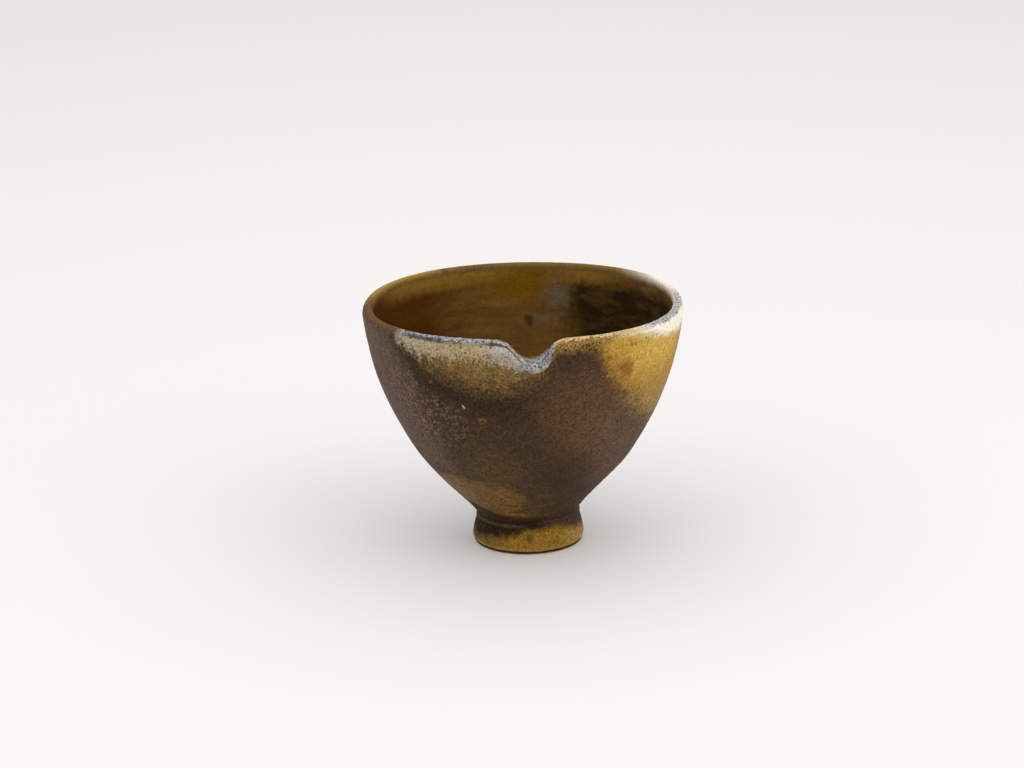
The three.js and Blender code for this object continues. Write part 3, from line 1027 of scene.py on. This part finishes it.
def inside_ash(skin):
    streaks = skin.noise(5, detail=4, roughness=0.55, stretch=(0.5, 0.5, 1.6), shift=120)
    amber = (back_arc + skin.fray * 3 + (streaks - 0.5) * 20).step(-8, -38)
    amber = amber * (skin.height + back_arc * 0.12 + skin.fray).step(69.5, 63.5)
    amber = amber * (back_arc + skin.fray * 4).step(-134, -96)
    # painted shade: the right inside wall, turned away from the lamp, is painted almost black
    dark_edge = back_arc + (skin.height - 60) * 0.5 + skin.fray * 5 + (streaks - 0.5) * 14
    shaded_right = dark_edge.step(7, 26) * (skin.height + skin.fray * 1.5).step(74.5, 68)
    shaded_right = shaded_right * skin.height.step(30, 45) * (back_arc + skin.fray * 4).step(134, 96)
    high_band = (skin.height + skin.fray * 1.2).step(67.5, 72.5) * back_arc.between(-60, -40, 20, 44)
    haze = skin.patch(back, (14.2, 65), (4.5, 6.5), turn=-12, soft=0.8, ragged=0.6)
    haze = haze.larger(skin.patch(back, (8, 58), (5, 2), turn=20, soft=0.8, ragged=0.6) * 0.6)
    haze = haze.larger(skin.patch(back, (50, 72.4), (6, 1.4), soft=0.8, ragged=0.5) * 0.9)
    colour = skin.layers(
        INNER_BROWN,
        (INNER_OLIVE, streaks.step(0.4, 0.7) * 0.3),
        (AMBER, amber),
        (FLOOR_BROWN, skin.height.step(45, 25)),
        (INNER_PAINTED_SHADE, shaded_right * (0.72 + 0.28 * streaks.step(0.62, 0.4))),
        (INNER_OLIVE, high_band),
        (POOL_GOLD, skin.patch(back, (4.5, 69.8), (12, 4.6), soft=0.7, ragged=0.4)),
        (LAVENDER, haze * streaks.step(0.3, 0.54) * 0.9),
        (POOL_SPOT, skin.patch(back, (5.3, 58), (1.6, 1.8), soft=0.6, ragged=0.5) * 0.8),
    )
    level_lines = skin.noise(0.9, detail=3, stretch=(0.04, 0.04, 1), shift=80)
    inner_clouds = skin.noise(6, detail=5, roughness=0.6, stretch=(1, 1, 1.3), shift=150)
    return skin.shade(colour, 0.58 + level_lines * 0.36 + inner_clouds * 0.5)


inner = inside_ash(bowl_skin)
print("inside laid:", len(bowl_skin.tree.nodes), "nodes")

# %% [markdown]
# The lip itself is the driest place: a crust of half-melted ash, blue-grey and black with white grains, and
# between its patches a tan or golden line. The face of the notch is the same crust, split by the knife.

# %% Lay the crust on the lip
LIP_TAN = tone(112, 80, 42)
LIP_GOLD = tone(172, 136, 62)
LIP_OLIVE = tone(128, 102, 48)
SLOPE_BROWN = tone(108, 80, 44)
SLOPE_CREAM = tone(176, 160, 130)
CRUST_DARK = tone(50, 48, 52)
CRUST_PALE = tone(174, 175, 175)
CRUST_GREY = tone(112, 112, 116)
PINK_GREY = tone(150, 128, 112)
CHAR_LINE = ((-42, 0.26), (-32, 0.22), (-22, 0.16), (-13, 0.15), (-3, 0.14))  # where it runs over the lip
CHAR_SHARE = ((-41, 0), (-38, 0.6), (-24, 0.6), (-19, 0.35), (-13, 0.45), (-10, 0.9), (-4, 0.9), (-3, 0))


def crusty(skin, share):
    """Dark crust with pale grains, of which the given noise level decides how many."""
    grains = skin.noise(0.75, detail=5, roughness=0.75, shift=45).step(share + 0.06, share - 0.06)
    return skin.mix(CRUST_DARK, CRUST_PALE, grains)


def bare_lip(skin):
    """What shows between the patches of crust: tan, gold, olive and cream."""
    behind = skin.y.step(-2, 20)
    slope = (across_lip + skin.fray * 0.04).step(0.46, 0.82)
    crest = (across_lip + skin.fray * 0.1 + fine * 0.4).step(0.22, 0.38)
    gold_lip = skin.layers(
        BROWN_GOLD,
        (HALO_GOLD, fine_grain.step(0.4, 0.54)),
        (GOLD_CREAM, crest.larger(front_arc.step(20, 30) * 0.85)),
    )
    ash_side = (front_arc + skin.fray * 3).between(27, 41, 88, 112)
    front_left = (front_arc + skin.fray * 1.5).step(-44, -40) * front_arc.step(3, 0)
    return skin.layers(
        DRY_BROWN,
        (LIP_TAN, (across_lip + skin.fray * 0.1).step(0.2, 0.42)),
        (LIP_GOLD, behind * back_arc.step(-10, -30)),
        (LIP_OLIVE, behind * (back_arc + skin.fray * 3).step(-30, 0)),
        (SLOPE_BROWN, slope * (0.5 + behind * 0.4)),
        (SLOPE_BROWN, skin.patch(back, (-23.6, 74.8), (1.3, 0.9), soft=0.6, ragged=0.4) * 0.9),
        (gold_lip, front_arc.between(3, 8, 34, 46)),
        (skin.mix(WHITE_CREAM, SLOPE_CREAM, slope), ash_side),
        (skin.mix(GREY_CREAM, CREAM, coarse_grain.step(0.45, 0.6)), front_left),
    )


def notch_colour(skin):
    return skin.layers(
        crusty(skin, 0.53),
        (CRUST_GREY, coarse_grain.step(0.42, 0.56) * 0.7),
        (PINK_GREY, front_arc.step(-3.4, -5.2) * across_lip.step(0.3, 0.5)),
        (CREAM, skin.patch(front, (2.2, 66.6), (1.6, 0.8), turn=30, soft=0.5, ragged=0.5) * 0.8),
    )


def lip_crust(skin, colour):
    """The crust on both sides of the notch and on its face, with a charred line along its outer edge."""
    crust_line = across_lip + skin.fray * 0.12
    left_crust = (front_arc + skin.fray * 1.5).step(-43, -40) * front_arc.step(-3.5, -5)
    left_crust = left_crust * crust_line.between(0.14, 0.3, 0.55, 0.8)
    right_crust = (front_arc + skin.fray * 3).between(31, 42, 68, 84) * fine_grain.step(0.68, 0.5)
    right_crust = right_crust * crust_line.between(0.16, 0.26, 0.5, 0.62)
    from_notch = front_arc.larger(-1 * front_arc)
    in_notch = (from_notch + skin.fray * 0.6 + coarse * 4).step(7.4, 5.4)
    shoulder = front_arc.between(-13, -10, -3.5, -1) * crust_line.step(0.24, 0.36)
    off_line = crust_line - skin.curve(front_arc, CHAR_LINE)
    charred = (skin.curve(front_arc, CHAR_SHARE) + coarse * 2 + fine * 2).step(0.3, 0.7)
    return skin.layers(
        colour,
        (crusty(skin, 0.54), left_crust.larger(right_crust)),
        (notch_colour(skin), in_notch),
        (skin.mix(PINK_GREY, CRUST_PALE, coarse_grain.step(0.46, 0.6)), shoulder),
        (CRUST_DARK, off_line.larger(-1 * off_line).step(0.13, 0.07) * charred * 0.9),
        (WHITE_CREAM, in_notch * across_lip.between(0.84, 0.93, 0.99, 1.0) * 0.8),
    )


def on_lip(skin):
    """1 on the lip, on the strip of wall under the notch and on the soft upper edge of the far wall."""
    under_notch = (below_lip + skin.fray * 0.3).step(1.6, 1.1) * front_arc.between(-4, -2, 4, 6)
    far_edge = (below_lip + skin.fray * 2.5).step(2.8, -0.4) * far_side
    return (across_lip + skin.fray * 0.04).step(0.06, 0.16).larger(under_notch).larger(far_edge)


far_side = bowl_skin.y.step(-5, 15)
lip_mask = on_lip(bowl_skin)
inner_mask = (across_lip + bowl_skin.fray * 0.06).step(0.72, 0.92)
lip_layer = lip_crust(bowl_skin, bare_lip(bowl_skin))
skin_colour = bowl_skin.layers(outer, (lip_layer, lip_mask), (inner, inner_mask))
print("crust laid:", len(bowl_skin.tree.nodes), "nodes")

# %% [markdown]
# At last the grain goes over all the layers. It lightens and darkens the colour, weakly inside and in the
# cream, and it also roughens the surface.

# %% Add the grain and finish the bowl
def grain_strength(skin):
    outer_mask = 1 - inner_mask
    creamy = front_arc.step(26, 36) * below_lip.step(5, 3) * outer_mask
    left_cream = front_arc.between(-44, -40, -2, 2) * below_lip.step(5, 1.5) * outer_mask
    golden = front_arc.step(16, 26) * skin.height.step(48, 56) * (1 - creamy) * outer_mask
    far_lip = far_side * lip_mask * (1 - creamy) * outer_mask
    return 1 - 0.65 * inner_mask - 0.7 * creamy - 0.2 * left_cream - 0.3 * golden - 0.5 * far_lip


dots = pale_dots - dark_dots
speckle = fine * 3.2 + coarse * 1.4 + dots * 0.35
bowl_colour = bowl_skin.shade(skin_colour, 1 + grain_strength(bowl_skin) * speckle)
bowl_roughness = 0.58 + coarse * 0.3 + lip_mask * 0.15
bowl_bump = fine_grain * 0.5 + coarse_grain * 0.8 + dots * 0.1 - pits * 0.15
bowl.data.materials.append(bowl_skin.finish(bowl_colour, bowl_roughness, bowl_bump, bump_depth=0.25))
print("bowl finished:", len(bowl_skin.tree.nodes), "nodes")

# %% [markdown]
# The foot is flashed clay: dark under the seam, partly the clay's own flashing and partly painted shade where
# the bowl's belly overhangs it, and gold below, where ash fell on its flare. The line between them climbs
# from left to right. A smudge of green ash sits near the front, and the arris that the pot stands on is wiped
# bare, with a thin dark line of painted shade above it, where the arris turns under.

# %% Lay the flashed clay of the foot
# dark flashed clay, and also painted shade under the overhanging belly of the bowl
FOOT_DARK_AND_SHADE = tone(42, 29, 13)
FOOT_BROWN = tone(68, 50, 34)
# painted highlight for the fine ridge under the seam
FOOT_RIDGE_HIGHLIGHT = tone(78, 60, 46)
FOOT_GOLD = tone(144, 109, 36)
FOOT_BRIGHT = tone(170, 134, 72)
FOOT_OLIVE = tone(104, 84, 34)
FOOT_TAN = tone(122, 92, 42)
FOOT_SMUDGE = tone(70, 62, 28)
# painted shade: a thin dark line on the arris where it turns under towards the floor
FOOT_SHADOW_LINE = tone(46, 42, 26)
BARE_CLAY = tone(150, 112, 58)
FOOT_GOLD_EDGE = (
    (-144, 4.6), (-110, 4.6), (-70, 3.5), (-36.4, 4.5), (-20, 5.2), (-8.6, 6.6), (4, 7.4), (18.3, 7.6),
    (36, 6.4), (49, 5.6), (80, 4.6), (144, 4.6),
)


def foot_gold(skin, arc, blotches, ahead):
    return skin.layers(
        FOOT_GOLD,
        (FOOT_BRIGHT, ahead * (arc + skin.fray * 4).step(24, 44)),
        (FOOT_TAN, ahead * (arc + skin.fray * 4).step(-14, -30)),
        (FOOT_OLIVE, blotches.step(0.48, 0.64) * 0.75),
        (FOOT_SMUDGE, skin.patch(skin.chart(arc), (-0.5, 4.2), (3.2, 1.5), soft=0.7, ragged=0.5) * 0.8),
        (FOOT_BRIGHT, (skin.height + skin.fray * 0.3).step(2.4, 1.5) * 0.5),
    )


def flashed_clay():
    skin = Skin("flashed_clay")
    arc = skin.around(front=True)
    grain = skin.noise(0.5, detail=2, roughness=0.7)
    blotches = skin.noise(2.4, detail=4, roughness=0.65, shift=15)
    uneven = blotches - 0.5
    ahead = (arc.larger(-1 * arc) + skin.fray * 3).step(128, 96)
    # painted highlight: a lighter line along the ridge on the left half of the front
    ridge = skin.height.between(7.8, 8.4, 8.8, 9.3) * arc.step(6, -12) * ahead
    below_edge = skin.curve(arc, FOOT_GOLD_EDGE) - skin.height + skin.fray * 0.5 + uneven * 4
    colour = skin.layers(
        FOOT_DARK_AND_SHADE,
        (FOOT_BROWN, ahead * (arc + skin.fray * 4 + uneven * 20).step(0, 18)),
        (FOOT_OLIVE, blotches.step(0.52, 0.68) * skin.height.step(7.6, 6) * 0.5),
        (FOOT_RIDGE_HIGHLIGHT, ridge * (0.2 + blotches * 1.2)),
        (foot_gold(skin, arc, blotches, ahead), below_edge.step(-1.6, 1.8)),
        # painted shade along the underside of the arris, just above the bare ring
        (FOOT_SHADOW_LINE, (skin.height + skin.fray * 0.12).step(1.2, 0.95)),
        (BARE_CLAY, (skin.height + skin.fray * 0.08).step(0.42, 0.26)),
    )
    shade = 1 + (grain - 0.5) * 2.6 + uneven * 1.2
    roughness = 0.62 + uneven * 0.3
    return skin.finish(skin.shade(colour, shade), roughness, grain * 0.6 + blotches * 0.5, bump_depth=0.2)


foot.data.materials.append(flashed_clay())
print("foot finished:", len(foot.data.materials[0].node_tree.nodes), "nodes")
